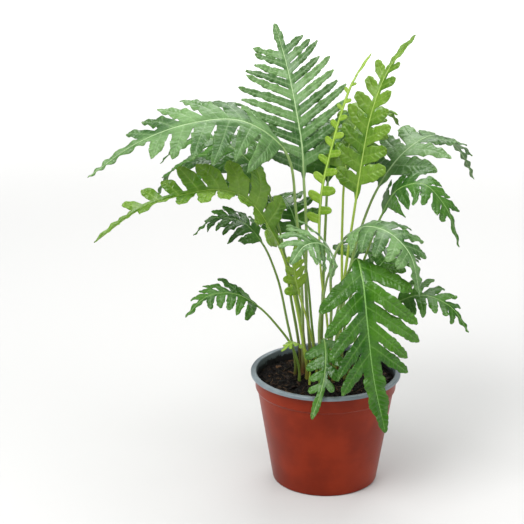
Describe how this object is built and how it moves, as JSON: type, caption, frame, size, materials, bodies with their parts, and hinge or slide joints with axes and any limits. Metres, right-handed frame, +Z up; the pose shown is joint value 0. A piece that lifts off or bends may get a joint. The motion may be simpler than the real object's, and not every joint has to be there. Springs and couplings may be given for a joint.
{
  "type": "potted fern",
  "caption": "Fern with deeply lobed fronds on thin stalks, growing in peat in a round tapered nursery pot with a flanged rim.",
  "frame": {"origin": "centre of the pot's foot, on the floor", "axes": "+Z up; -Y the front, where the largest frond hangs over the rim; +X to the right seen from the front"},
  "size_m": [0.3105, 0.2269, 0.3543],
  "materials": {
    "pot": "satin",
    "soil": "matte",
    "leaf": "satin"
  },
  "bodies": {
    "root": {"pot": "pot", "soil": "soil", "frond_centre_tall": "leaf", "frond_left_high": "leaf", "frond_left_flat": "leaf", "frond_young_upright": "leaf", "frond_front_large": "leaf", "frond_right_arched": "leaf", "frond_front_left": "leaf", "frond_front_small": "leaf", "frond_right_middle": "leaf", "frond_right_tall": "leaf", "frond_left_low": "leaf", "frond_back_middle": "leaf", "frond_back_left": "leaf", "frond_back_right": "leaf", "frond_right_low": "leaf", "frond_back_low": "leaf", "frond_right_slender": "leaf", "frond_upper_left": "leaf", "frond_upper_right": "leaf", "frond_inner_back": "leaf", "frond_inner_left": "leaf", "frond_inner_right": "leaf", "frond_young_low": "leaf"}
  },
  "joints": []
}
